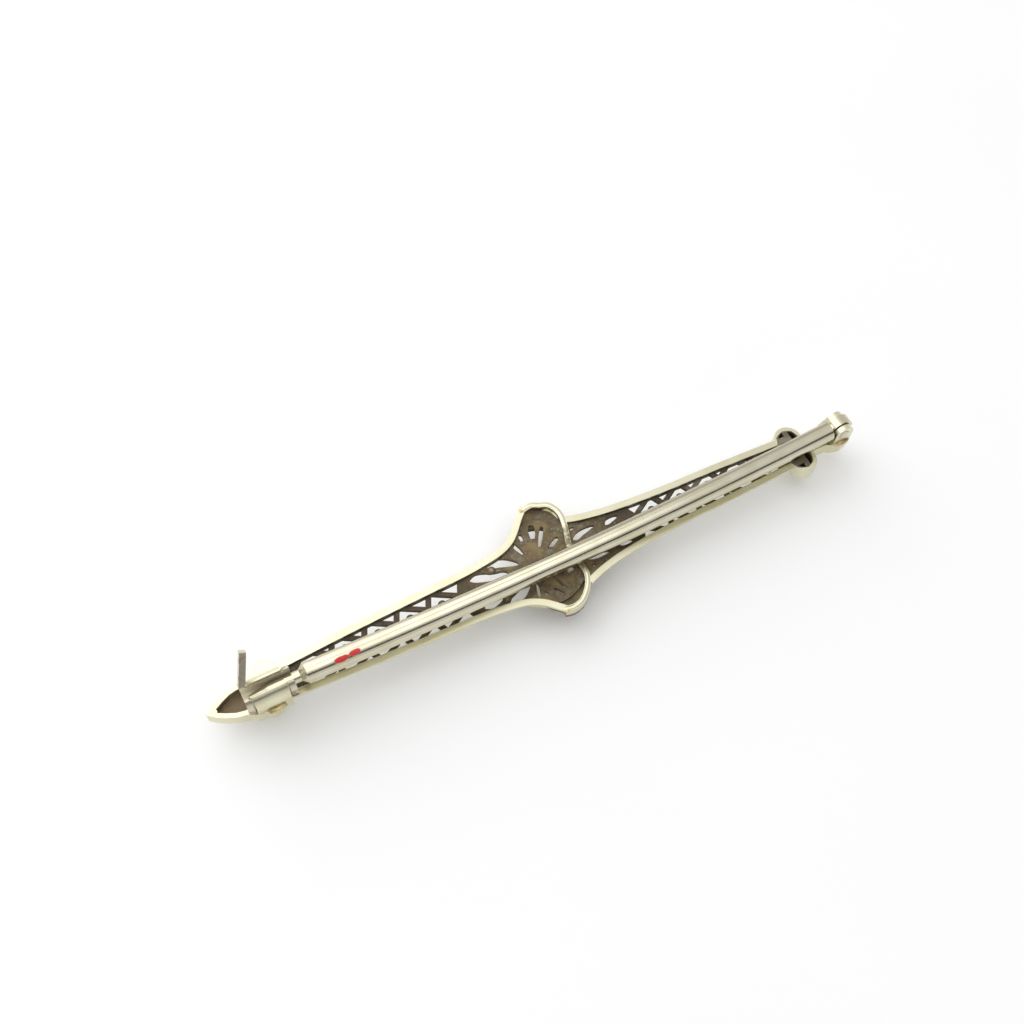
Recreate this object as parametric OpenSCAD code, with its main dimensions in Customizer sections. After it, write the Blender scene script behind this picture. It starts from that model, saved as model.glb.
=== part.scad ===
/* [Whole brooch] */
// Length from point to point
brooch_l = 63; // [61:0.5:66]
// Height of the flat back edge above the table
rim_top = 3.4; // [3.2:0.1:3.8]
// Height of the walls around the centre and the ends
rim_h = 1.25; // [1.15:0.05:1.35]
// Height of the side walls along the arms
rail_h = 0.7; // [0.7:0.05:0.8]
// Width of the flat back edge
rim_w = 0.6; // [0.5:0.05:0.7]
// Thickness of the flat back edge, which overhangs the side wall
ledge_h = 0.25; // [0.2:0.05:0.3]
// Thickness of the side wall under the back edge
web_t = 0.25; // [0.2:0.05:0.35]

/* [Pierced sheet] */
// Depth of the pierced sheet below the back edge
sheet_drop = 0.28; // [0.26:0.02:0.34]
// Thickness of the pierced sheet
sheet_t = 0.32; // [0.28:0.02:0.34]
// Pitch of the trellis cells along the brooch
cell_pitch = 2.96; // [2.9:0.01:3.0]
// Cells in each arm
cells = 6; // [5:1:6]
// Width of a steep trellis bar
bar_w = 0.5; // [0.4:0.05:0.55]
// Width of a flat trellis bar
flat_w = 0.42; // [0.35:0.01:0.45]
// Lean of the steep bars
steep_deg = 65; // [60:1:68]
// Lean of the flat bars
flat_deg = 30; // [28:1:32]
// Radius of the beads
bead_r = 0.35; // [0.3:0.01:0.4]
// Distance of each row of beads from the middle line
bead_y = 0.5; // [0.45:0.01:0.55]

/* [Centre] */
// Thickness of the wall around the two lobes
wall_t = 0.5; // [0.4:0.05:0.6]
// Radius of the plain boss that the brooch rests on
boss_r = 1.45; // [1.3:0.05:1.6]
// Radius of the sheet around the sunburst, up to the pockets in the lobes
sun_r = 4; // [3.9:0.05:4.1]

/* [Ends] */
// Distance of the catch end's collar from the middle
collar_catch = 26.2; // [26:0.1:26.4]
// Distance of the hinge end's collar from the middle
collar_hinge = 25.4; // [25.2:0.1:25.6]
// Radius of a collar lobe
lobe_r = 1.3; // [1.2:0.05:1.4]
// Thickness of the end walls
end_t = 0.42; // [0.38:0.02:0.46]

/* [Pin stem] */
// Thickness of the stem at the hinge
stem_d = 1.75; // [1.6:0.05:1.75]
// Thickness of the stem inside the catch
stem_catch_d = 1.0; // [0.9:0.05:1.05]
// Length of the sharpened end
stem_taper_l = 3.2; // [2.5:0.1:3.6]
// How far the stem bows out from straight
stem_bow = 0.5; // [0.45:0.05:0.55]
// Height of the hinge pin above the back edge
hinge_up = 1.1; // [1.1:0.05:1.3]
// Place of the hinge pin along the brooch
hinge_x = 29.7; // [29.5:0.1:29.9]
// Sideways place of the hinge
hinge_y = -0.2; // [-0.3:0.1:0]

/* [Hinge] */
// Width of the stem's flattened end between the cheeks
eye_w = 0.9; // [0.85:0.05:1]
// Radius of the stem's flattened end
eye_r = 1.2; // [1.1:0.05:1.25]
// Thickness of a hinge cheek
cheek_t = 0.5; // [0.45:0.05:0.55]
// Radius of a hinge cheek
cheek_r = 0.95; // [0.9:0.05:1]
// Thickness of the hinge pin
rivet_d = 0.8; // [0.7:0.05:0.9]
// Radial clearance between the stem's eye and the hinge pin
rivet_gap = 0.04; // [0.02:0.01:0.06]
// Side clearance between the stem's eye and a cheek
cheek_gap = 0.06; // [0.04:0.01:0.1]

/* [Safety catch] */
// Place of the catch along the brooch
catch_x = -26.3; // [-26.5:0.1:-26.2]
// Sideways place of the catch
catch_y = -0.7; // [-0.8:0.1:-0.6]
// Length of the fixed barrel
barrel_l = 2.9; // [2.7:0.1:3.1]
// Outer radius of the fixed barrel
barrel_r = 1.4; // [1.35:0.05:1.45]
// Outer radius of the turning sleeve
sleeve_r = 1.0; // [0.95:0.05:1.05]
// Inner radius of the turning sleeve
sleeve_bore_r = 0.62; // [0.6:0.01:0.7]
// Radial clearance between sleeve and barrel
sleeve_gap = 0.06; // [0.04:0.01:0.1]
// Radius of the sleeve's end flanges
flange_r = 1.2; // [1.15:0.05:1.25]
// Thickness of a sleeve flange
flange_t = 0.55; // [0.45:0.05:0.6]
// Height of the catch's middle line above the back edge
catch_up = 1.25; // [1.25:0.05:1.5]
// Length of the lever beyond the barrel
lever_l = 2.8; // [2.4:0.1:3]
// Lean of the open lever away from straight up
lever_deg = 48; // [40:1:52]
// Lean of the lever's upper part along the brooch, over the barrel
lever_lean = 23; // [10:1:24]

/* [Hidden] */
$fn = 48;
sheet_z = rim_top - sheet_drop - sheet_t;
rim_z = rim_top - rim_h;
half_l = brooch_l / 2;
hinge_z = rim_top + hinge_up;
catch_z = rim_top + catch_up;
slot_w = 2 * sleeve_bore_r - 0.06;
// Place of the first rail node, and half width of the arms that the trellis is measured at
node_x = 8.2;
node_y = 1.6;
// How far a flat bar starts along the rail from its node, and a bead from its node
flat_shift = 0.79;
bead_shift = 0.8;
// Middle of the sheet around the sunburst
SUN = [-1.1, 0.15];

// Rim of the arm that carries the catch: place along the brooch, half width inside
CATCH_ARM = [[-26.9, 0.92], [-22, 1.23], [-16, 1.54], [-11, 1.73], [-7.5, 1.86], [-5, 2.12]];
// Its flare at positive y
FLARE_UP = [[-3.5, 2.42], [-2.36, 2.95], [-1.5, 3.68], [-0.6, 4.65], [0.3, 5.5]];
// Its flare at negative y
FLARE_DOWN = [[-3.6, 2.45], [-2.44, 3.08], [-1.6, 3.85], [-0.85, 4.6]];
// Rim of the arm that carries the hinge: place along the brooch, half width inside
HINGE_ARM = [[4, 2.32], [7, 1.84], [12, 1.48], [18, 1.32], [25.6, 0.98]];
// Middle line of the lobe at positive y, from the corner to the dip: x, y
LOBE_UP = [[-0.1, 5.45], [0.8, 5.6], [1.45, 5.3], [2.15, 5], [2.58, 4.35], [2.73, 3.6], [2.62, 2.8],
    [2.38, 1.95], [2.08, 1.1], [1.88, 0.5], [1.75, 0]];
// Middle line of the lobe at negative y, from the corner to the dip: x, y
LOBE_DOWN = [[-1.25, 4.65], [-0.55, 4.8], [0.35, 4.6], [1.1, 4], [1.62, 3.35], [1.97, 2.5], [1.96, 1.65],
    [1.8, 0.8], [1.75, 0]];
// Slots of the sunburst: x and y of the inner end, x and y of the outer end, width
SLOTS = [[-2, 1.7, -2.42, 3.05, 0.42], [-1.5, 2.85, -1.38, 3.52, 0.36], [-0.55, 2.65, -0.05, 3.9, 0.62],
    [-0.4, 1.7, 0.74, 3.36, 0.36], [0.28, 1.2, 1.5, 1.82, 0.42], [0.12, -1.42, 1.32, -1.4, 0.5],
    [-0.72, -1.35, -0.15, -2.9, 0.28], [-1.15, -2.45, -0.62, -3.3, 0.28],
    [-2.05, -2.35, -1.85, -2.8, 0.28], [-2.22, -1.3, -2.65, -2.6, 0.28]];
// Leaf openings of the catch arm: x, y
LEAF_A = [[-5.48, 1.95], [-5.2, 2.12], [-4.53, 2.28], [-3.85, 2.1], [-3.27, 1.7], [-2.82, 1.22],
    [-2.8, 0.92], [-3.41, 1.07], [-4.38, 1.42], [-4.95, 1.62]];
LEAF_B = [[-7.32, 1.4], [-7.05, 1.66], [-6.53, 1.76], [-5.8, 1.52], [-5.45, 1.3], [-4.93, 1.14],
    [-4.4, 1.03], [-3.99, 0.71], [-4.34, 0.42], [-4.93, 0.4], [-5.77, 0.64], [-6.83, 1.01]];
// Leaf openings of the hinge arm: x, y
LEAF_C = [[2.6, 1], [2.95, 1.38], [3.62, 1.57], [4.42, 1.56], [4.95, 1.42], [4.4, 1.2], [3.6, 1], [2.95, 0.8]];
LEAF_D = [[5.85, 1.04], [6.05, 1.37], [6.44, 1.52], [7, 1.5], [7.3, 1.32], [6.8, 1.1], [6.1, 0.93]];
LEAF_E = [[2.8, 1.92], [2.95, 2.14], [3.2, 2.1], [3.12, 1.94]];
// Side of the spear point at the catch end, from tip to collar: distance from the middle, half width
SPEAR = [[half_l, 0], [30.9, 0.5], [30.2, 0.9], [29.4, 1.25], [28.6, 1.4], [26.2, 1.3]];
// Side of the round end under the hinge, from tip to collar: distance from the middle, half width
PADDLE = [[half_l, 0], [31.2, 0.7], [30.5, 1.25], [29.6, 1.45], [28.8, 1.25], [28.2, 0.95], [27.2, 0.9],
    [25.6, 1.2]];
// Round lobes of each end: distance of the lobe from the middle, y, radius
CATCH_LOBES = [[collar_catch, 1.2, lobe_r], [collar_catch + 0.2, -0.9, 1.2], [collar_catch + 1.1, 0, 1.85]];
HINGE_LOBES = [[collar_hinge, 1.2, lobe_r], [collar_hinge, -1.2, lobe_r]];
// The stem's wire ends here, and its cone begins
stem_end_x = catch_x + 3.3;
// Cone and point of the stem: distance from the wire's end, radius
CONE = [[-0.4, 0], [-0.4, stem_d / 2 + 0.03], [0.1, stem_d / 2 + 0.03], [0.6, stem_catch_d / 2],
    [stem_end_x - catch_x, stem_catch_d / 2], [stem_end_x - catch_x + stem_taper_l / 2, 0.22],
    [stem_end_x - catch_x + stem_taper_l / 2 + 0.1, 0]];

// Catmull-Rom point at u between p1 and p2
function spline(p0, p1, p2, p3, u) =
    0.5 * (2 * p1 + (p2 - p0) * u + (2 * p0 - 5 * p1 + 4 * p2 - p3) * u * u
        + (3 * p1 - p0 - 3 * p2 + p3) * u * u * u);
// Smooth curve through the points of a table, with n steps between neighbours
function smooth(p, n) = let(m = len(p) - 1) concat(
    [for (i = [0:m - 1], j = [0:n - 1])
        spline(i == 0 ? 2 * p[0] - p[1] : p[i - 1], p[i], p[i + 1],
            i == m - 1 ? 2 * p[m] - p[m - 1] : p[i + 2], j / n)],
    [p[m]]);
// Smooth closed curve through the points of a table
function ring(p, n) = let(m = len(p))
    [for (i = [0:m - 1], j = [0:n - 1])
        spline(p[(i + m - 1) % m], p[i], p[(i + 1) % m], p[(i + 2) % m], j / n)];
function unit(v) = v / norm(v);
function left_of(v) = [-v[1], v[0]];
function flip(p) = [for (q = p) [q[0], -q[1]]];
function reversed(p) = [for (i = [len(p) - 1:-1:0]) p[i]];
// The curve p moved sideways by d, to the left of its run
function aside(p, d) = let(m = len(p) - 1)
    [for (i = [0:m]) p[i] + d * left_of(unit(p[min(i + 1, m)] - p[max(i - 1, 0)]))];

// Inner edges of the rims; those at negative y are drawn mirrored
catch_up_edge = smooth(concat(CATCH_ARM, FLARE_UP), 3);
catch_down_edge = smooth(concat(CATCH_ARM, FLARE_DOWN), 3);
hinge_up_edge = smooth(concat([[2.45, 2.78]], HINGE_ARM), 3);
hinge_down_edge = smooth(concat([[1.75, 3]], HINGE_ARM), 3);
lobe_up_line = smooth(LOBE_UP, 2);
lobe_down_line = smooth(LOBE_DOWN, 2);
wall_line = concat([for (i = [0:len(lobe_up_line) - 2]) lobe_up_line[i]], reversed(flip(lobe_down_line)));

// Strip along a curve, from d1 to d2 on its left side
module strip(p, d1, d2) {
    polygon(concat(aside(p, d1), reversed(aside(p, d2))));
}

// Both rims of both arms, as a strip from d1 to d2 outside the inner edge
module arm_rims(d1, d2) {
    strip(catch_up_edge, d1, d2);
    strip(hinge_up_edge, d1, d2);
    mirror([0, 1]) strip(catch_down_edge, d1, d2);
    mirror([0, 1]) strip(hinge_down_edge, d1, d2);
}

module lobe_wall() {
    strip(wall_line, -wall_t / 2, wall_t / 2);
}

// Everything inside the rims and the lobe wall
module inside() {
    polygon(concat(catch_up_edge, wall_line, reversed(flip(catch_down_edge))));
    polygon(concat([[1.75, 2.78]], hinge_up_edge, reversed(flip(hinge_down_edge)), [[1.75, -2.78]]));
}

// Straight bar through a point, w wide
module bar_2d(x, y, deg, w, l) {
    translate([x, y]) rotate(deg) square([l, w], center = true);
}

// One quarter of the trellis, drawn at negative x and positive y
module trellis_quarter() {
    for (k = [1:cells]) {
        x = -node_x - k * cell_pitch;
        intersection() {
            bar_2d(x, node_y, steep_deg, bar_w, 6);
            translate([-30, 0]) square([30, 4]);
        }
        intersection() {
            bar_2d(x + flat_shift, node_y, -flat_deg, flat_w, 8);
            translate([-30, bead_y - 0.1]) square([30, 4]);
        }
        translate([x + bead_shift, bead_y]) circle(bead_r, $fn = 24);
    }
    translate([-28, bead_y - 0.2]) square([28 - node_x - 0.4, 0.36]);
}

// Solid sheet around the centre; its ends lean like the steep bars
module solid_zone() {
    lean = 2.2 / tan(steep_deg);
    polygon([for (s = [[-1, 1], [-1, 0], [-1, -1], [1, -1], [1, 0], [1, 1]])
        [s[0] * (node_x + 0.25 + (s[1] == 0 ? 0.75 : 0.75 - lean)), s[1] * 2.2]]);
    square([7.6, 14], center = true);
}

// Slot with round shoulders from one point to another, w wide
module slot_2d(x1, y1, x2, y2, w) {
    run = [x2 - x1, y2 - y1];
    l = norm(run);
    translate([x1, y1])
        rotate(atan2(run[1], run[0]))
            polygon([[0, -w * 0.3], [0, w * 0.3], [l * 0.5, w * 0.5], [l - 0.15, w * 0.45], [l, w * 0.2],
                [l, -w * 0.2], [l - 0.15, -w * 0.45], [l * 0.5, -w * 0.5]]);
}

module centre_openings() {
    for (p = SLOTS)
        slot_2d(p[0], p[1], p[2], p[3], p[4]);
    for (m = [0, 1])
        mirror([0, m]) {
            for (p = [LEAF_B, LEAF_C, LEAF_D, LEAF_E])
                polygon(ring(p, 3));
            difference() {
                polygon(ring(LEAF_A, 3));
                translate([-5.2, 1.5]) circle(bead_r, $fn = 24);
            }
        }
}

// Ends of the lobes beyond the sunburst, where the floor lies deeper
module pockets_2d(r, y0) {
    difference() {
        intersection() {
            inside();
            for (y = [y0, -y0 - 6])
                translate([-3.2, y]) square([8, 6]);
        }
        translate(SUN) circle(r);
    }
}

// The pierced sheet in plan
module sheet_2d() {
    difference() {
        intersection() {
            inside();
            union() {
                for (mx = [0, 1], my = [0, 1])
                    mirror([mx, 0]) mirror([0, my]) trellis_quarter();
                difference() {
                    solid_zone();
                    centre_openings();
                }
            }
        }
        pockets_2d(sun_r, 3);
    }
}

// Plan of one end, drawn at positive x and shrunk by inset; tip says how sharp its tip is
module end_2d(side, tip, inset, lobes) {
    p = aside(side, inset);
    half = concat([[side[0][0] - tip * inset, 0]], [for (i = [1:len(p) - 1]) p[i]]);
    polygon(concat(half, reversed(flip(half))));
    for (q = lobes)
        translate([q[0], q[1]]) circle(q[2] - inset);
}

// One hollow end with solid lobes, or with cups in them on both sides of a bar at bar_x
module end_piece(side, tip, lobes, cups, bar_x) {
    translate([0, 0, rim_z])
        linear_extrude(rim_h)
            difference() {
                end_2d(side, tip, 0, lobes);
                difference() {
                    end_2d(side, tip, end_t, cups);
                    translate([bar_x, -3]) square([0.5, 6]);
                }
            }
    translate([0, 0, rim_z])
        linear_extrude(0.45)
            end_2d(side, tip, 0.2, lobes);
}

module hinge_cheeks() {
    for (s = [-1, 1])
        translate([0, hinge_y + s * (eye_w / 2 + cheek_gap + cheek_t / 2), 0])
            difference() {
                union() {
                    translate([hinge_x, 0, hinge_z])
                        rotate([90, 0, 0]) cylinder(h = cheek_t, r = cheek_r, center = true);
                    translate([hinge_x - cheek_r, -cheek_t / 2, rim_z + 0.3])
                        cube([2 * cheek_r, cheek_t, hinge_z - rim_z - 0.3]);
                }
                translate([hinge_x, 0, hinge_z])
                    rotate([90, 0, 0]) cylinder(h = 4, r = rivet_d / 2, center = true);
            }
}

// Fixed barrel of the catch, open upwards so that the stem can leave
module catch_barrel() {
    difference() {
        union() {
            translate([catch_x, catch_y, catch_z])
                rotate([0, 90, 0]) cylinder(h = barrel_l, r = barrel_r, center = true);
            translate([catch_x - barrel_l / 2, catch_y - 1.1, rim_z + 0.2])
                cube([barrel_l, 2.2, catch_z - rim_z - 0.6]);
        }
        translate([catch_x, catch_y, catch_z])
            rotate([0, 90, 0]) cylinder(h = barrel_l + 1, r = sleeve_r + sleeve_gap, center = true);
        translate([catch_x - barrel_l, catch_y - slot_w / 2, catch_z])
            cube([2 * barrel_l, slot_w, 3]);
    }
}

module body() {
    color("palegoldenrod") {
        translate([0, 0, rim_top - ledge_h]) linear_extrude(ledge_h) arm_rims(0, rim_w);
        translate([0, 0, rim_top - rail_h]) linear_extrude(rail_h - 0.1) arm_rims(0, web_t);
        translate([0, 0, rim_z])
            linear_extrude(rim_h - 0.15)
                intersection() {
                    arm_rims(0, web_t);
                    square([7.2, 14], center = true);
                }
        translate([0, 0, rim_z]) linear_extrude(rim_h) lobe_wall();
        translate([0, 0, sheet_z]) linear_extrude(sheet_t) sheet_2d();
        translate([0, 0, rim_z]) linear_extrude(sheet_z + 0.05 - rim_z) pockets_2d(sun_r - 0.2, 2.8);
        cylinder(h = sheet_z + 0.1, r = boss_r);
        end_piece(PADDLE, 1.1, HINGE_LOBES, HINGE_LOBES, collar_hinge - 0.15);
        mirror([1, 0]) end_piece(SPEAR, 2.2, CATCH_LOBES, [], collar_catch - 0.15);
        hinge_cheeks();
        catch_barrel();
    }
}

// Bowed wire from the hinge pin to the cone, as part of one large ring
module stem_wire() {
    run = [stem_end_x - hinge_x, catch_y - hinge_y, catch_z - hinge_z];
    l = norm(run);
    big_r = l * l / (8 * stem_bow);
    half = asin(l / 2 / big_r);
    rotate([0, -asin(run[2] / l), atan2(run[1], run[0])])
        rotate([65, 0, 0])
            translate([l / 2, 0, big_r - stem_bow])
                rotate([90, 0, 0])
                    rotate([0, 0, -90 - half])
                        rotate_extrude(angle = 2 * half) translate([big_r, 0]) circle(stem_d / 2);
}

module pin_stem() {
    color("ivory")
        translate([hinge_x, hinge_y, hinge_z])
            difference() {
                union() {
                    difference() {
                        stem_wire();
                        for (s = [-1, 1])
                            translate([-cheek_r - 0.15, s * (eye_w / 2 + 0.45) - 0.5, -2])
                                cube([4, 1, 4]);
                        translate([-eye_r / 2, -2, -2]) cube([4, 4, 4]);
                    }
                    translate([stem_end_x - hinge_x, catch_y - hinge_y, catch_z - hinge_z])
                        rotate([0, -90, 0])
                            rotate_extrude() polygon([for (p = CONE) [p[1], p[0]]]);
                    rotate([90, 0, 0]) cylinder(h = eye_w, r = eye_r, center = true);
                }
                rotate([90, 0, 0]) cylinder(h = 4, r = rivet_d / 2 + rivet_gap, center = true);
            }
}

module hinge_pin() {
    color("palegoldenrod")
        translate([hinge_x, hinge_y, hinge_z])
            rotate([90, 0, 0])
                cylinder(h = eye_w + 2 * (cheek_gap + cheek_t), r = rivet_d / 2, center = true);
}

module catch_sleeve() {
    color("tan")
        translate([catch_x, catch_y, catch_z])
            difference() {
                union() {
                    rotate([0, 90, 0])
                        cylinder(h = barrel_l + 0.2, r = sleeve_r, center = true);
                    for (s = [-1, 1])
                        translate([s * (barrel_l / 2 + 0.1 + flange_t / 2), 0, 0])
                            rotate([0, 90, 0]) cylinder(h = flange_t, r = flange_r, center = true);
                    translate([-barrel_l / 2 - 0.1 - flange_t, 0, 0])
                        rotate([-lever_deg, 0, 0])
                            translate([0, -0.45, 0.9]) {
                                cube([flange_t, 0.9, 0.5]);
                                translate([0, 0, 0.35])
                                    rotate([0, lever_lean, 0])
                                        cube([flange_t, 0.9, barrel_r + lever_l - 1.3]);
                            }
                }
                rotate([0, 90, 0]) cylinder(h = 3 * barrel_l, r = sleeve_bore_r, center = true);
                translate([-2 * barrel_l, -slot_w / 2, 0]) cube([4 * barrel_l, slot_w, 2]);
            }
}

body();
pin_stem();
hinge_pin();
catch_sleeve();
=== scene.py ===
# %% [markdown]
# # A bar brooch, seen from the back
# The brooch lies on its front, so what shows is the goldsmith's side: a polished flat edge, a
# pierced sheet gone brown inside it, a two-lobed centre, a pin stem on a hinge and a safety
# catch. The construction comes packed from the CAD source as a fixed frame. This script only
# dresses it: finishes, a few small soldered and rounded details, a floor, light and a camera.

# %% Load the frame
import math

import bmesh
import bpy
from mathutils import Matrix, Vector, noise


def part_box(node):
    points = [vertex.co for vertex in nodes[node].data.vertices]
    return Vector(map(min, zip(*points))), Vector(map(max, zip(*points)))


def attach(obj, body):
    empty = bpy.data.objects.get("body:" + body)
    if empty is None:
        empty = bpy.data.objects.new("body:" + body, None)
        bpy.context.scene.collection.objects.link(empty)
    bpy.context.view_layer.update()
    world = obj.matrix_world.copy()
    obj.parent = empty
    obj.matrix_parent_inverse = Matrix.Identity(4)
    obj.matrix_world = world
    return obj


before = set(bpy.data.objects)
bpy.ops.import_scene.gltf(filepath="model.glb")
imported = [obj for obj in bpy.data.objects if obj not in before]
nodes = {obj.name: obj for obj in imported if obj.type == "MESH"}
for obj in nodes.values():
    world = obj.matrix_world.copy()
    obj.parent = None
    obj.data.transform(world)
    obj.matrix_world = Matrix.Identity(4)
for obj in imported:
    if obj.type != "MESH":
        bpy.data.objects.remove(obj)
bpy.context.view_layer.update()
MM = 0.001

# %% [markdown]
# ## The sizes that the details need
# The frame gives each node's box. The height of the polished back edge isn't one of its sides,
# because hinge and catch stand above it, so it is named here with the few other sizes that the
# source gives in millimetres. Everything below is worked out from these.

# %% Sizes in millimetres
RIM_TOP = 3.4
SHEET_TOP = 3.12
WALL_T = 0.5
CELL_PITCH = 2.96
# The first rail node, and how far beyond it a bead sits
NODE_X = 8.2
BEAD_SHIFT = 0.8
BEAD_Y = 0.5
CELLS = 6
BEAD_R = 0.35
LEAF_BEAD = (-5.2, 1.5)
# Middle of the catch's barrel, half its length, and the radius of its bore
CATCH = (-26.3, -0.7, 4.65)
BARREL_HALF = 1.5
BORE_R = 1.1
# How far past the barrel's ends the painted light in the bore goes, and how softly it ends
BORE_PAST = 0.6
BORE_SOFT = 0.05
# Middle line of each lobe of the centre wall, from its corner to the dip between them
LOBE_UP = [(-0.1, 5.45), (0.8, 5.6), (1.45, 5.3), (2.15, 5.0), (2.58, 4.35), (2.73, 3.6),
           (2.62, 2.8), (2.38, 1.95), (2.08, 1.1), (1.88, 0.5), (1.75, 0.0)]
LOBE_DOWN = [(-1.25, 4.65), (-0.55, 4.8), (0.35, 4.6), (1.1, 4.0), (1.62, 3.35), (1.97, 2.5),
             (1.96, 1.65), (1.8, 0.8), (1.75, 0.0)]
# Place along the brooch and half width inside the walls: first the parts both sides share
NEAR_END = [(-31.0, 0.0), (-30.2, 0.45), (-29.4, 0.75), (-28.6, 0.9), (-26.2, 0.85),
            (-25.1, 1.0), (-22.0, 1.23), (-16.0, 1.54), (-11.0, 1.73), (-7.5, 1.86),
            (-5.0, 2.12)]
FAR_END = [(4.0, 2.32), (7.0, 1.84), (12.0, 1.48), (18.0, 1.32), (24.2, 1.05), (24.5, 1.8),
           (25.4, 2.1), (26.2, 1.75), (26.6, 0.6), (28.2, 0.5), (28.8, 0.85), (29.6, 1.05),
           (30.4, 0.85), (31.0, 0.0)]
HALF_UP = [*NEAR_END, (-3.5, 2.42), (-2.36, 2.95), (-1.5, 3.68), (-0.6, 4.65), (0.1, 5.2),
           (0.8, 5.32), (1.45, 5.05), (2.0, 4.6), (2.35, 4.2), (2.45, 3.5), (2.5, 2.78), *FAR_END]
HALF_DOWN = [*NEAR_END, (-3.6, 2.45), (-2.44, 3.08), (-1.6, 3.85), (-1.1, 4.3), (-0.55, 4.52),
             (0.35, 4.3), (0.9, 3.8), (1.4, 3.2), (1.7, 3.0), *FAR_END]
_, stem_high = (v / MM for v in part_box("pin_stem"))
pin_low, pin_high = (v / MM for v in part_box("hinge_pin"))
_, sleeve_high = (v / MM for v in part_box("catch_sleeve"))
HINGE = (pin_low + pin_high) / 2
print("hinge at", tuple(round(v, 2) for v in HINGE), "mm")
print("tops of stem and sleeve:", round(stem_high.z, 2), round(sleeve_high.z, 2), "mm")

# %% [markdown]
# ## The camera
# The photo was taken close up, so near and far ends differ in scale. The two rims must be
# mirror images of each other, and that fixes the view: the camera looks down at 60 degrees,
# turned 31 degrees from the brooch's own front view, from about 104 mm away.

# %% Camera
VIEW_TURN = math.radians(30.69)
VIEW_DOWN = math.radians(60.0)
VIEW_ROLL = math.radians(3.57)
VIEW_DISTANCE = 103.76 * MM
FOCAL_PX = 1200.0
PHOTO_PX = 1024.0
CENTRE_PX = (552.8, 558.8)
SENSOR = 36.0
CLIP_START = 0.002


def make_camera():
    across = Vector((math.cos(VIEW_TURN), -math.sin(VIEW_TURN), 0))
    away = Vector((math.sin(VIEW_TURN), math.cos(VIEW_TURN), 0))
    up = Vector((0, 0, 1))
    ahead = away * math.cos(VIEW_DOWN) - up * math.sin(VIEW_DOWN)
    below = -away * math.sin(VIEW_DOWN) - up * math.cos(VIEW_DOWN)
    right = across * math.cos(VIEW_ROLL) - below * math.sin(VIEW_ROLL)
    down = across * math.sin(VIEW_ROLL) + below * math.cos(VIEW_ROLL)
    side_px, drop_px = (c - PHOTO_PX / 2 for c in CENTRE_PX)
    target = Vector((0, 0, RIM_TOP * MM))
    place = target - VIEW_DISTANCE * (
        ahead + right * side_px / FOCAL_PX + down * drop_px / FOCAL_PX)
    data = bpy.data.cameras.new("camera")
    data.sensor_width = SENSOR
    data.lens = SENSOR * FOCAL_PX / PHOTO_PX
    data.clip_start = CLIP_START
    camera = bpy.data.objects.new("camera", data)
    turn = Matrix((right, -down, -ahead)).transposed()
    camera.matrix_world = Matrix.Translation(place) @ turn.to_4x4()
    bpy.context.scene.collection.objects.link(camera)
    bpy.context.scene.camera = camera
    return camera


camera = make_camera()
print("camera at", tuple(round(v / MM, 1) for v in camera.matrix_world.translation), "mm")

# %% [markdown]
# ## Shader maths as Python
# A material is easier to read as sums than as wires. `Wire` holds one output socket and turns
# `+`, `*` and the rest into Math nodes; numbers alone stay in Python. Colours are mixed with
# Mix nodes. `Recipe.node` makes any other node from its type, settings and inputs. `curve` is a
# table of widths along the brooch, read by a Float Curve node. `rise` is the mask that all the
# finishes use: it climbs smoothly from 0 to 1 between two values, or falls if they are swapped.

# %% A small class for shader maths


class Wire:
    def __init__(self, recipe, socket):
        self.recipe, self.socket = recipe, socket

    def _math(self, kind, *values):
        return self.recipe.node("ShaderNodeMath", {"operation": kind}, dict(enumerate(values)))

    def __add__(self, other): return self._math("ADD", self, other)
    def __radd__(self, other): return self._math("ADD", other, self)
    def __sub__(self, other): return self._math("SUBTRACT", self, other)
    def __rsub__(self, other): return self._math("SUBTRACT", other, self)
    def __mul__(self, other): return self._math("MULTIPLY", self, other)
    def __rmul__(self, other): return self._math("MULTIPLY", other, self)
    def __truediv__(self, other): return self._math("DIVIDE", self, other)
    def abs(self): return self._math("ABSOLUTE", self)
    def max(self, other): return self._math("MAXIMUM", self, other)

    def rise(self, low, high):
        """0 below low, 1 above high, smooth between; falls instead where low > high."""
        settings = {"interpolation_type": "SMOOTHSTEP"}
        inputs = {"Value": self, "From Min": low, "From Max": high}
        if low > high:
            inputs = {"Value": self, "From Min": high, "From Max": low,
                      "To Min": 1.0, "To Max": 0.0}
        return self.recipe.node("ShaderNodeMapRange", settings, inputs)


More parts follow.
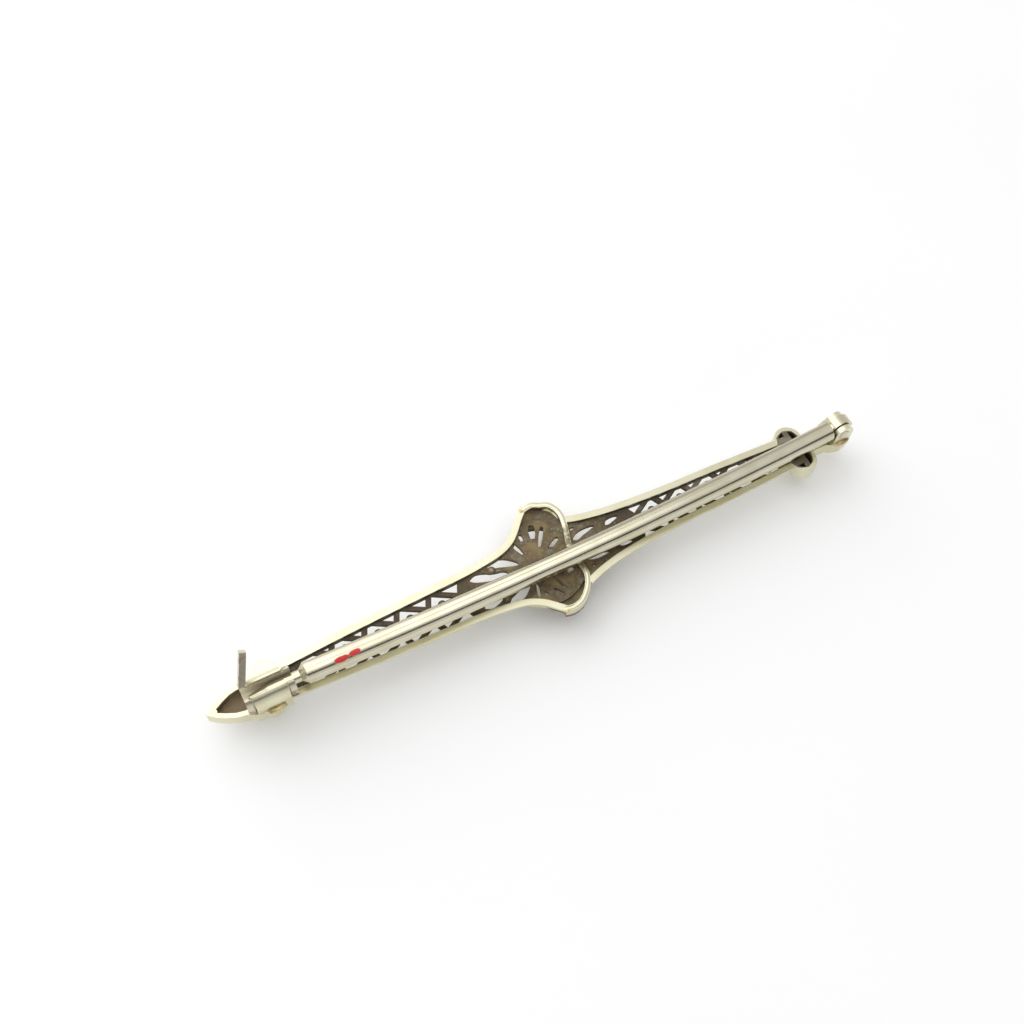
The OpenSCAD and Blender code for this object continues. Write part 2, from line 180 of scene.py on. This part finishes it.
class Recipe:
    """A new material and short ways to add to it."""

    def __init__(self, name):
        self.material = bpy.data.materials.new(name)
        self.material.use_nodes = True
        self.tree = self.material.node_tree
        self.shader = self.tree.nodes["Principled BSDF"]

    def node(self, kind, settings=None, inputs=None, out=0):
        made = self.tree.nodes.new(kind)
        for key, value in (settings or {}).items():
            setattr(made, key, value)
        for key, value in (inputs or {}).items():
            self.plug(made.inputs[key], value)
        return Wire(self, made.outputs[out])

    def plug(self, socket, value):
        if isinstance(value, Wire):
            self.tree.links.new(value.socket, socket)
        elif socket.type == "RGBA" and len(value) == 3:
            socket.default_value = (*value, 1)
        else:
            socket.default_value = value

    def set(self, **sockets):
        for key, value in sockets.items():
            self.plug(self.shader.inputs[key.replace("_", " ")], value)

    def place(self):
        """Object coordinates in millimetres, as one vector and as x, y, z."""
        there = self.node("ShaderNodeTexCoord", out="Object")
        scaled = self.node("ShaderNodeVectorMath", {"operation": "SCALE"},
                           {0: there, "Scale": 1 / MM})
        split = self.tree.nodes.new("ShaderNodeSeparateXYZ")
        self.plug(split.inputs[0], scaled)
        return scaled, *(Wire(self, s) for s in split.outputs)

    def normal(self, axis):
        """One part of the surface's normal: 0, 1, 2 for x, y, z."""
        whole = self.node("ShaderNodeNewGeometry", out="Normal")
        return self.node("ShaderNodeSeparateXYZ", {}, {0: whole}, out=axis)

    def grain(self, place, size, detail=2.0, stretch=(1, 1, 1)):
        """Noise from 0 to 1 with features of about size millimetres."""
        if stretch != (1, 1, 1):
            place = self.node("ShaderNodeVectorMath", {"operation": "MULTIPLY"},
                              {0: place, 1: stretch})
        return self.node("ShaderNodeTexNoise", {},
                         {"Vector": place, "Scale": 1 / size, "Detail": detail})

    def mix(self, factor, a, b):
        made = self.tree.nodes.new("ShaderNodeMix")
        made.data_type = "RGBA"
        self.plug(made.inputs["Factor"], factor)
        colour_sockets = [s for s in made.inputs if s.type == "RGBA"]
        self.plug(colour_sockets[0], a)
        self.plug(colour_sockets[1], b)
        return Wire(self, next(s for s in made.outputs if s.type == "RGBA"))

    def curve(self, x, rows):
        """Reads column 2 of the rows at x in column 1, with straight lines between rows."""
        start, span = rows[0][0], rows[-1][0] - rows[0][0]
        top = max(width for _, width in rows)
        made = self.tree.nodes.new("ShaderNodeFloatCurve")
        points = made.mapping.curves[0].points
        while len(points) < len(rows):
            points.new(0.5, 0.5)
        for point, (along, width) in zip(points, rows):
            point.location = ((along - start) / span, width / top)
            point.handle_type = "VECTOR"
        made.mapping.update()
        self.plug(made.inputs["Value"], (x - start) / span)
        return Wire(self, made.outputs[0]) * top

    def bump(self, height, strength, depth_mm, normal=None):
        inputs = {"Height": height, "Strength": strength, "Distance": depth_mm * MM}
        if normal:
            inputs["Normal"] = normal
        return self.node("ShaderNodeBump", {}, inputs)

    def soft_edges(self, radius_mm):
        """A normal that rounds sharp corners, as polishing does."""
        return self.node("ShaderNodeBevel", {"samples": 4}, {"Radius": radius_mm * MM})


print("shader helpers ready")

# %% [markdown]
# ## Pale gold, clean outside and brown inside
# A brooch that is wiped and worn stays bright where a cloth reaches: the flat edge, the outer
# walls, the front. Down in the pierced sheet and on the inner walls a brown skin of tarnish
# and old polish builds up. So the body has one metal with a mask. The mask asks three questions
# of each point: is it between the rims, is it below the edge, does it face anywhere but down?

# %% Finish of the body
CLEAN = (0.72, 0.68, 0.47)
CLEAN_PALE = (0.77, 0.74, 0.55)
TARNISH = (0.075, 0.052, 0.030)
TARNISH_PALE = (0.225, 0.165, 0.076)
TARNISH_DARK = (0.030, 0.021, 0.013)
# A dark green, used both for patches of patina and for painted shade deep down
VERDIGRIS_AND_SHADE = (0.060, 0.058, 0.030)
# Colour of the painted shadow line low on the lobes' outer walls
SHADOW_MAROON = (0.10, 0.028, 0.018)
END_BROWN = (0.26, 0.19, 0.105)
# Painted light: the catch's bore, which lies in shade, is painted pale and made matt so that it
# reads bright
BORE_PAINTED_LIGHT = (0.80, 0.75, 0.60)
# Where each mask is 0 and where it is 1, in millimetres. The first three are the three questions
# above; the third is asked of the upward part of the normal, so it has no unit
BETWEEN = (0.14, 0.02)
BELOW_EDGE = (RIM_TOP - 0.03, RIM_TOP - 0.16)
NOT_DOWN = (-0.9, -0.4)
# In the far pair of lobes even the tops of the webs are brown: both ends, and how brown
FAR_LOBE_FROM = (23.9, 24.3)
FAR_LOBE_TO = (26.7, 26.3)
FAR_LOBE_SHARE = 0.85
# The skin is darker in the arms, by distance from the middle of the centre, and darker and
# greener deep down, which is painted shade in the recesses
CENTRE_X = -1.0
ARM = (4.5, 8.0)
ARM_SHARE = 0.72
DEEP_SHADE = (SHEET_TOP - 0.3, SHEET_TOP - 0.6)
DEEP_SHADE_SHARE = 0.75
# In the pocket beyond the catch it is pale
NEAR_POCKET = (-27.3, -27.9)
# A maroon line of painted shadow low on the outer walls of the lobes, near the table: its height
# and its reach along them
LINE_TOP = (2.62, 2.45)
LINE_FOOT = (2.12, 2.2)
LINE_X = 0.4
LINE_REACH = (3.0, 2.4)
LINE_SHARE = 0.85
# The inner face of the lobed wall where the stem crosses it is brown too: along and across
WALL_FROM = (1.2, 1.6)
WALL_TO = (3.1, 2.8)
WALL_ACROSS = (2.6, 2.0)


def in_bore(x, y, z):
    """1 inside the catch's bore and just past its ends, 0 elsewhere."""
    dy, dz = y - CATCH[1], z - CATCH[2]
    inside = (dy * dy + dz * dz).rise((BORE_R + BORE_SOFT) ** 2, BORE_R ** 2)
    reach = BARREL_HALF + BORE_PAST
    return inside * (x - CATCH[0]).abs().rise(reach + 2 * BORE_SOFT, reach)


def body_gold():
    gold = Recipe("body_gold")
    place, x, y, z = gold.place()
    beyond = (y - gold.curve(x, HALF_UP)).max(0.0 - y - gold.curve(x, HALF_DOWN))
    between = beyond.rise(*BETWEEN)
    below = z.rise(*BELOW_EDGE)
    back = gold.normal(2).rise(*NOT_DOWN)
    patch = gold.grain(place, 1.6, 3)
    fine = gold.grain(place, 0.22, 3)
    blotch = patch.rise(0.3, 0.6)
    far_lobe = x.rise(*FAR_LOBE_FROM) * x.rise(*FAR_LOBE_TO) * FAR_LOBE_SHARE
    skin = between * below.max(far_lobe) * back * (0.88 + 0.2 * blotch)
    rubbed = skin * fine.rise(0.62, 0.78) * 0.3
    brown = gold.mix(patch.rise(0.38, 0.66), TARNISH, TARNISH_PALE)
    brown = gold.mix(gold.grain(place, 2.3, 1).rise(0.55, 0.72) * 0.5, brown, VERDIGRIS_AND_SHADE)
    brown = gold.mix(fine.rise(0.35, 0.75) * 0.5, brown, TARNISH_PALE)
    arm = (x - CENTRE_X).abs().rise(*ARM)
    brown = gold.mix(arm * ARM_SHARE, brown, TARNISH_DARK)
    # Painted shade: darker and greener the deeper down in the recesses
    brown = gold.mix(z.rise(*DEEP_SHADE) * DEEP_SHADE_SHARE, brown, VERDIGRIS_AND_SHADE)
    brown = gold.mix(x.rise(*NEAR_POCKET) * (0.5 + 0.4 * blotch), brown, END_BROWN)
    bright = gold.mix(gold.grain(place, 3.0, 2).rise(0.35, 0.65), CLEAN, CLEAN_PALE)
    bright = gold.mix(fine.rise(0.66, 0.8) * 0.2, bright, TARNISH_PALE)
    # Painted shadow: a maroon line low on the outer walls of the lobes, also made less metallic
    painted_shadow_line = (1.0 - between) * z.rise(*LINE_TOP) * z.rise(*LINE_FOOT) * (
        (x - LINE_X).abs().rise(*LINE_REACH))
    bright = gold.mix(painted_shadow_line * LINE_SHARE, bright, SHADOW_MAROON)
    scratch = gold.grain(place, 0.5, 2, stretch=(0.25, 4, 4))
    bore = in_bore(x, y, z)
    # Painted light inside the catch's bore, which is also made less metallic and rougher
    bright = gold.mix(bore, bright, BORE_PAINTED_LIGHT)
    inner_lobe = x.rise(*WALL_FROM) * x.rise(*WALL_TO) * y.abs().rise(*WALL_ACROSS)
    cover = (skin - rubbed).max(inner_lobe * (0.35 + 0.5 * fine.rise(0.4, 0.6)))
    round_edge = gold.soft_edges(0.06)
    relief = gold.bump(fine * cover + scratch * 0.05, 0.5, 0.05, round_edge)
    gold.set(Base_Color=gold.mix(cover, bright, brown),
             Metallic=1.0 - cover * 0.7 - painted_shadow_line * 0.5 - bore * 0.7,
             Roughness=0.24 + 0.12 * scratch + cover * 0.3 + bore * 0.2,
             Normal=relief)
    return gold.material


BODY_GOLD = body_gold()
print("made", BODY_GOLD.name)

# %% [markdown]
# ## The stem
# The stem is drawn wire, burnished by years of cloth, so its scratches run along it. The flank
# that faces the big light behind is painted darker, a painted shade that holds down that light's
# reflection there; a mask finds it by the sideways part of the normal. Near the catch the stem
# carries a small red mark, two drops end to end, which is painted by distance from two points on
# its upper side.

# %% Finish of the stem
STEM_METAL = (0.64, 0.595, 0.445)
STEM_PALE = (0.69, 0.65, 0.51)
# Painted shade for the stem's flank that faces the key light
STEM_PAINTED_SHADE = (0.48, 0.44, 0.325)
RED = (0.62, 0.035, 0.03)
# Half width of a red drop across the stem, how deep it is painted, how ragged its outline is, and
# the soft edge at which it ends
RED_ACROSS = 0.24
RED_DEEP = 0.5
RED_RAG = 0.9
RED_EDGE = (1.5, 1.1)
# The sideways parts of the normal between which the painted shade on the flank sets in
FLANK = (0.05, 0.42)
# Middle of each red drop: x, y, z; and its reach along the stem
RED_DROPS = [(-20.1, -1.2, 5.33, 0.72), (-18.95, -1.14, 5.33, 0.58)]


def stem_metal():
    wire = Recipe("stem_metal")
    place, x, y, z = wire.place()
    drawn = wire.grain(place, 0.25, 3, stretch=(0.06, 3, 3))
    cloud = wire.grain(place, 2.5, 2)
    rag = wire.grain(place, 0.35, 2)
    metal = wire.mix(cloud.rise(0.35, 0.65), STEM_METAL, STEM_PALE)
    red = None
    for cx, cy, cz, reach in RED_DROPS:
        dx, dy, dz = (x - cx) / reach, (y - cy) / RED_ACROSS, (z - cz) / RED_DEEP
        near = dx * dx + dy * dy + dz * dz + rag * RED_RAG
        drop = near.rise(*RED_EDGE)
        red = drop if red is None else red.max(drop)
    # Painted shade: the flank that faces the key light is darkened to hold down its reflection
    flank = wire.normal(1).rise(*FLANK)
    metal = wire.mix(flank * (0.75 + 0.25 * rag), metal, STEM_PAINTED_SHADE)
    wire.set(Base_Color=wire.mix(red, metal, RED),
             Metallic=1.0 - red,
             Roughness=0.14 + 0.10 * drawn + red * 0.25,
             Normal=wire.bump(drawn * 0.4 + cloud * 0.3 + red * 0.4, 0.25, 0.03))
    return wire.material


STEM_WIRE = stem_metal()
print("made", STEM_WIRE.name)

# %% [markdown]
# ## Catch and hinge
# The bought findings are a slightly warmer, duller metal, with dirt in their hollows. One recipe
# makes the catch, the hinge pin and the solder, with metal, dirt and share of dirt as parameters.
# At the end each CAD node gets its finish.

# %% Finish of catch and hinge
FINDING_DIRT = (0.26, 0.19, 0.11)


def finding_metal(name, base, dirt, dirt_share):
    metal = Recipe(name)
    place, x, y, z = metal.place()
    cloud = metal.grain(place, 0.9, 3)
    fine = metal.grain(place, 0.18, 3)
    soil = cloud.rise(0.62 - dirt_share, 0.8 - dirt_share) * 0.75
    shade = metal.mix(soil, base, dirt)
    bore = in_bore(x, y, z)
    # Painted light inside the catch's bore, which is also made less metallic
    shade = metal.mix(bore, shade, BORE_PAINTED_LIGHT)
    metal.set(Base_Color=metal.mix(fine.rise(0.6, 0.8) * 0.35, shade, dirt),
              Metallic=1.0 - soil * 0.3 - bore * 0.6,
              Roughness=0.22 + 0.2 * fine + soil * 0.2,
              Normal=metal.bump(fine, 0.3, 0.03, metal.soft_edges(0.08)))
    return metal.material


CATCH_METAL = finding_metal("catch_metal", (0.66, 0.61, 0.48), FINDING_DIRT, 0.12)
PIN_METAL = finding_metal("hinge_pin_metal", (0.66, 0.62, 0.50), FINDING_DIRT, 0.05)
SOLDER = finding_metal("solder", (0.74, 0.62, 0.36), (0.28, 0.19, 0.08), 0.12)


def dress(name, material):
    mesh = nodes[name].data
    if len(mesh.materials) == 0:
        mesh.materials.append(material)
    for i in range(len(mesh.materials)):
        mesh.materials[i] = material
    print("dressed", name, "with", material.name)


dress("body", BODY_GOLD)
dress("pin_stem", STEM_WIRE)
dress("hinge_pin", PIN_METAL)
dress("catch_sleeve", CATCH_METAL)

# %% [markdown]
# ## Helpers for paths and trees
# What follows a path or repeats is made by a Geometry Nodes tree. A tree's sizes are named
# inputs, and its result is turned into a plain mesh that can ride on the brooch.

# %% Helpers: a smooth path, and a tree's result as a mesh


def spline_points(rows, steps):
    """Catmull-Rom curve through rows, which may have any number of columns."""
    pts = [Vector(r) for r in rows]
    pts = [2 * pts[0] - pts[1], *pts, 2 * pts[-1] - pts[-2]]
    out = []
    for a, b, c, d in zip(pts, pts[1:], pts[2:], pts[3:]):
        for i in range(steps):
            u = i / steps
            out.append(0.5 * (2 * b + (c - a) * u + (2 * a - 5 * b + 4 * c - d) * u * u
                              + (3 * b - a - 3 * c + d) * u ** 3))
    return [*out, pts[-2]]


def link(thing, name):
    made = bpy.data.objects.new(name, thing)
    bpy.context.scene.collection.objects.link(made)
    return made


def run_tree(host, tree, values, name):
    """Runs a tree on host with named inputs, and returns its result as a plain mesh object."""
    modifier = host.modifiers.new("tree", "NODES")
    modifier.node_group = tree
    for item in tree.interface.items_tree:
        if item.item_type == "SOCKET" and item.in_out == "INPUT" and item.name in values:
            modifier[item.identifier] = values[item.name]
    graph = bpy.context.evaluated_depsgraph_get()
    mesh = bpy.data.meshes.new_from_object(host.evaluated_get(graph))
    bpy.data.objects.remove(host)
    mesh.name = name
    made = link(mesh, name)
    print(name, "has", len(mesh.polygons), "faces")
    return made


def new_tree(name, inputs):
    tree = bpy.data.node_groups.new(name, "GeometryNodeTree")
    tree.interface.new_socket("Geometry", in_out="INPUT", socket_type="NodeSocketGeometry")
    for label, kind, value in inputs:
        socket = tree.interface.new_socket(label, in_out="INPUT", socket_type=kind)
        socket.default_value = value
    tree.interface.new_socket("Geometry", in_out="OUTPUT", socket_type="NodeSocketGeometry")
    start = tree.nodes.new("NodeGroupInput")
    end = tree.nodes.new("NodeGroupOutput")
    return tree, start, end


def add(tree, kind, settings=None, links=None, values=None):
    made = tree.nodes.new(kind)
    for key, value in (settings or {}).items():
        setattr(made, key, value)
    for key, value in (values or {}).items():
        made.inputs[key].default_value = value
    for key, source in (links or {}).items():
        tree.links.new(source, made.inputs[key])
    return made


def finish_tree(tree, end, geometry, material):
    real = add(tree, "GeometryNodeRealizeInstances", links={"Geometry": geometry})
    paint = add(tree, "GeometryNodeSetMaterial", links={"Geometry": real.outputs[0]},
                values={"Material": material})
    tree.links.new(paint.outputs[0], end.inputs[0])


def path_object(points, name):
    curve = bpy.data.curves.new(name, "CURVE")
    curve.dimensions = "3D"
    line = curve.splines.new("POLY")
    line.points.add(len(points) - 1)
    for spot, place in zip(line.points, points):
        spot.co = (*(Vector(place) * MM), 1)
    return link(curve, name)


# %% [markdown]
# ## The rounded lip of the centre wall
# The thin wall around the two lobes was burnished until its edge became a little round wire.
# It follows a path, so the tree sweeps a small circle along the wall's own line: up one lobe,
# through the dip where the stem crosses, and round the other.

# %% Tree: a round wire along a path
# How far the lip goes past the wall's sides and above its edge, in millimetres
LIP_PAST = 0.02
LIP_RISE = 0.06
LIP_R = WALL_T / 2 + LIP_PAST
# Corners around the lip, and steps between two rows of its path
LIP_SIDES = 14
LIP_STEPS = 5


def wire_tree(material):
    tree, start, end = new_tree("wire_along_path", [
        ("Radius", "NodeSocketFloat", 0.0003), ("Sides", "NodeSocketInt", 10)])
    ring = add(tree, "GeometryNodeCurvePrimitiveCircle",
               links={"Radius": start.outputs["Radius"], "Resolution": start.outputs["Sides"]})
    sweep = add(tree, "GeometryNodeCurveToMesh",
                links={"Curve": start.outputs["Geometry"],
                       "Profile Curve": ring.outputs["Curve"]},
                values={"Fill Caps": True})
    finish_tree(tree, end, sweep.outputs[0], material)
    return tree


lobe_up = spline_points(LOBE_UP, LIP_STEPS)
lobe_down = spline_points(LOBE_DOWN, LIP_STEPS)
wall_line = [*lobe_up[:-1], *[Vector((p.x, -p.y)) for p in reversed(lobe_down)]]
lip_path = path_object([(p.x, p.y, RIM_TOP - LIP_R + LIP_RISE) for p in wall_line], "lip_path")
wire_along_path = wire_tree(BODY_GOLD)
wall_lip = run_tree(lip_path, wire_along_path,
                    {"Radius": LIP_R * MM, "Sides": LIP_SIDES}, "wall_lip")
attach(wall_lip, "brooch")

# %% [markdown]
# ## Beads of the trellis
# Each arm has two rows of small beads, one bead in every cell, on both sides of its middle
# line. From the back they are low domes. The same dome repeats, so a tree puts it on a row of
# points: their count, pitch and size are inputs. Two more sit alone between the leaves.

# %% Tree: a row of low domes
# How much wider than the bead under it and how far sunk a dome is, in millimetres, and how flat
BEAD_EXTRA = 0.03
BEAD_SINK = 0.02
BEAD_FLAT = 0.5


def dome_row_tree(material):
    tree, start, end = new_tree("dome_row", [
        ("Count", "NodeSocketInt", 6), ("Start", "NodeSocketVector", (0, 0, 0)),
        ("Step", "NodeSocketVector", (1, 0, 0)), ("Radius", "NodeSocketFloat", 0.0004)])
    row = add(tree, "GeometryNodeMeshLine", {"mode": "OFFSET"},
              {"Count": start.outputs["Count"], "Start Location": start.outputs["Start"],
               "Offset": start.outputs["Step"]})
    ball = add(tree, "GeometryNodeMeshUVSphere", links={"Radius": start.outputs["Radius"]},
               values={"Segments": 20, "Rings": 12})
    flat = add(tree, "GeometryNodeTransform", links={"Geometry": ball.outputs["Mesh"]},
               values={"Scale": (1, 1, BEAD_FLAT)})
    put = add(tree, "GeometryNodeInstanceOnPoints",
              links={"Points": row.outputs["Mesh"], "Instance": flat.outputs["Geometry"]})
    finish_tree(tree, end, put.outputs[0], material)
    return tree


dome_row = dome_row_tree(BODY_GOLD)


def bead_row(name, first, step, count):
    host = link(bpy.data.meshes.new("row_host"), "row_host")
    beads = run_tree(host, dome_row, {
        "Count": count, "Start": Vector((*first, SHEET_TOP - BEAD_SINK)) * MM,
        "Step": Vector((step, 0, 0)) * MM, "Radius": (BEAD_R + BEAD_EXTRA) * MM}, name)
    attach(beads, "brooch")


first_x = NODE_X + CELL_PITCH - BEAD_SHIFT
for row_side in (-1, 1):
    row_y = row_side * BEAD_Y
    bead_row(f"catch_arm_beads_{row_side + 2}", (-first_x, row_y), -CELL_PITCH, CELLS)
    bead_row(f"hinge_arm_beads_{row_side + 2}", (first_x, row_y), CELL_PITCH, CELLS)
    bead_row(f"leaf_bead_{row_side + 2}", (LEAF_BEAD[0], row_side * LEAF_BEAD[1]), 0, 1)

# %% [markdown]
# ## Solder
# Hinge and catch were soldered on, and so was the lobed wall. The joints show as small uneven
# fillets. Each is a squashed ball, pushed about with smooth noise whose seed is its own place,
# and half sunk in the metal. They are few, so mesh code makes them one by one.

# %% Blobs of solder
# Middle x, y, z and half sizes x, y, z, in millimetres
BLOBS = [(-26.2, -1.95, 3.4, 0.8, 0.32, 0.25), (-26.5, 0.55, 3.4, 1.1, 0.35, 0.25),
         (29.7, 0.85, 3.3, 0.8, 0.25, 0.2), (29.7, -1.25, 3.3, 0.8, 0.25, 0.2),
         (2.35, 1.6, 2.95, 0.28, 0.35, 0.3), (-0.2, 5.42, 3.25, 0.35, 0.3, 0.2),
         (-1.2, -4.72, 3.25, 0.35, 0.3, 0.2)]
# How strongly noise pushes a blob's surface, and how fine that noise is
BLOB_PUSH = 0.22
BLOB_GRAIN = 1.7


def smooth_object(builder, name, material):
    """Ends a mesh that was built by hand: smooth faces, one material, an object."""
    mesh = bpy.data.meshes.new(name)
    for face in builder.faces:
        face.smooth = True
    builder.to_mesh(mesh)
    builder.free()
    mesh.materials.append(material)
    return link(mesh, name)


def make_blobs(rows):
    builder = bmesh.new()
    for row in rows:
        centre, half = Vector(row[:3]), Vector(row[3:])
        made = bmesh.ops.create_icosphere(builder, subdivisions=3, radius=1.0)
        for vert in made["verts"]:
            push = 1 + BLOB_PUSH * noise.noise(vert.co * BLOB_GRAIN + centre)
            vert.co = (centre + Vector(a * b for a, b in zip(vert.co, half)) * push) * MM
    return smooth_object(builder, "solder_joints", SOLDER)


solder_joints = make_blobs(BLOBS)
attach(solder_joints, "brooch")
print("solder joints:", len(BLOBS))

# %% [markdown]
# ## The hinge pin's heads
# A goldsmith burrs the pin over at both cheeks, so it ends in two small domes. They ride on
# the brooch with the pin.

# %% Heads of the hinge pin
# Radius and height of a head
HEAD_R = 0.52
HEAD_H = 0.16


def pin_heads():
    builder = bmesh.new()
    for y in (pin_low.y, pin_high.y):
        made = bmesh.ops.create_uvsphere(builder, u_segments=28, v_segments=14, radius=1.0)
        for vert in made["verts"]:
            spot = Vector((vert.co.x * HEAD_R, vert.co.z * HEAD_H, vert.co.y * HEAD_R))
            vert.co = (Vector((HINGE.x, y, HINGE.z)) + spot) * MM
    bmesh.ops.recalc_face_normals(builder, faces=builder.faces)
    return smooth_object(builder, "hinge_pin_heads", PIN_METAL)


heads = pin_heads()
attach(heads, "brooch")
print("pin heads made")

# %% [markdown]
# ## Floor
# The photo is a product shot on white. The floor is a plain pale sheet, which also throws light
# back up. It isn't part of the object.

# %% Floor
FLOOR_HALF = 0.9
FLOOR_PALE = (0.90, 0.90, 0.905)
FLOOR_WHITE = (0.93, 0.93, 0.93)
FLOOR_GRAIN = 40


def make_floor():
    paint = Recipe("floor_paint")
    place, *_ = paint.place()
    paint.set(Base_Color=paint.mix(paint.grain(place, FLOOR_GRAIN, 2), FLOOR_PALE, FLOOR_WHITE),
              Roughness=0.6)
    mesh = bpy.data.meshes.new("floor")
    side = FLOOR_HALF
    mesh.from_pydata([(-side, -side, 0), (side, -side, 0), (side, side, 0), (-side, side, 0)],
                     [], [(0, 1, 2, 3)])
    mesh.materials.append(paint.material)
    floor = link(mesh, "floor")


make_floor()

# %% [markdown]
# ## Light
# A big soft source stands behind and to the left, with a weak one overhead. Together with a pale
# surrounding they give the long clean highlights. A dark gap runs through the surrounding along
# the brooch, on the camera's side, and the stem mirrors it as its thin dark line. The camera
# itself doesn't see the gap: past the floor it sees the plain pale surrounding.

# %% Light
# Name, place in metres, size in metres, power in watts
LIGHTS = [("key", (-0.25, 0.62, 0.50), 1.10, 4.9),
          ("overhead", (0.0, -0.06, 0.60), 0.50, 0.70)]
# Brightness of the surrounding
AROUND = 0.75
# The dark gap: its height in degrees above the table on the camera's side, half its width and its
# soft edge in degrees, and its brightness
GAP_UP = 35.0
GAP_HALF = 7.0
GAP_SOFT = 5.0
GAP_DARK = 0.04


def make_world():
    world = bpy.data.worlds.new("around")
    world.use_nodes = True
    tree = world.node_tree
    sky = tree.nodes["Background"]
    up = math.radians(GAP_UP)
    coords = tree.nodes.new("ShaderNodeTexCoord")
    across_gap = tree.nodes.new("ShaderNodeVectorMath")
    across_gap.operation = "DOT_PRODUCT"
    across_gap.inputs[1].default_value = (0, math.sin(up), math.cos(up))
    tree.links.new(coords.outputs["Generated"], across_gap.inputs[0])
    off = tree.nodes.new("ShaderNodeMath")
    off.operation = "ABSOLUTE"
    tree.links.new(across_gap.outputs["Value"], off.inputs[0])
    shade = tree.nodes.new("ShaderNodeMapRange")
    shade.interpolation_type = "SMOOTHSTEP"
    for key, value in (("From Min", math.sin(math.radians(GAP_HALF))),
                       ("From Max", math.sin(math.radians(GAP_HALF + GAP_SOFT))),
                       ("To Min", GAP_DARK), ("To Max", AROUND)):
        shade.inputs[key].default_value = value
    tree.links.new(off.outputs["Value"], shade.inputs["Value"])
    seen = tree.nodes.new("ShaderNodeLightPath").outputs["Is Camera Ray"]
    plain = tree.nodes.new("ShaderNodeMix")
    plain.inputs["B"].default_value = AROUND
    tree.links.new(seen, plain.inputs["Factor"])
    tree.links.new(shade.outputs["Result"], plain.inputs["A"])
    tree.links.new(plain.outputs["Result"], sky.inputs["Strength"])
    sky.inputs["Color"].default_value = (1, 1, 1, 1)
    bpy.context.scene.world = world


def make_lights():
    for name, place, size, power in LIGHTS:
        data = bpy.data.lights.new(name, "AREA")
        data.size, data.energy = size, power
        lamp = link(data, name)
        lamp.location = place
        lamp.rotation_euler = (-Vector(place)).to_track_quat("-Z", "Y").to_euler()
    bpy.context.scene.view_settings.view_transform = "Standard"


make_world()
make_lights()
print("lights:", [row[0] for row in LIGHTS])
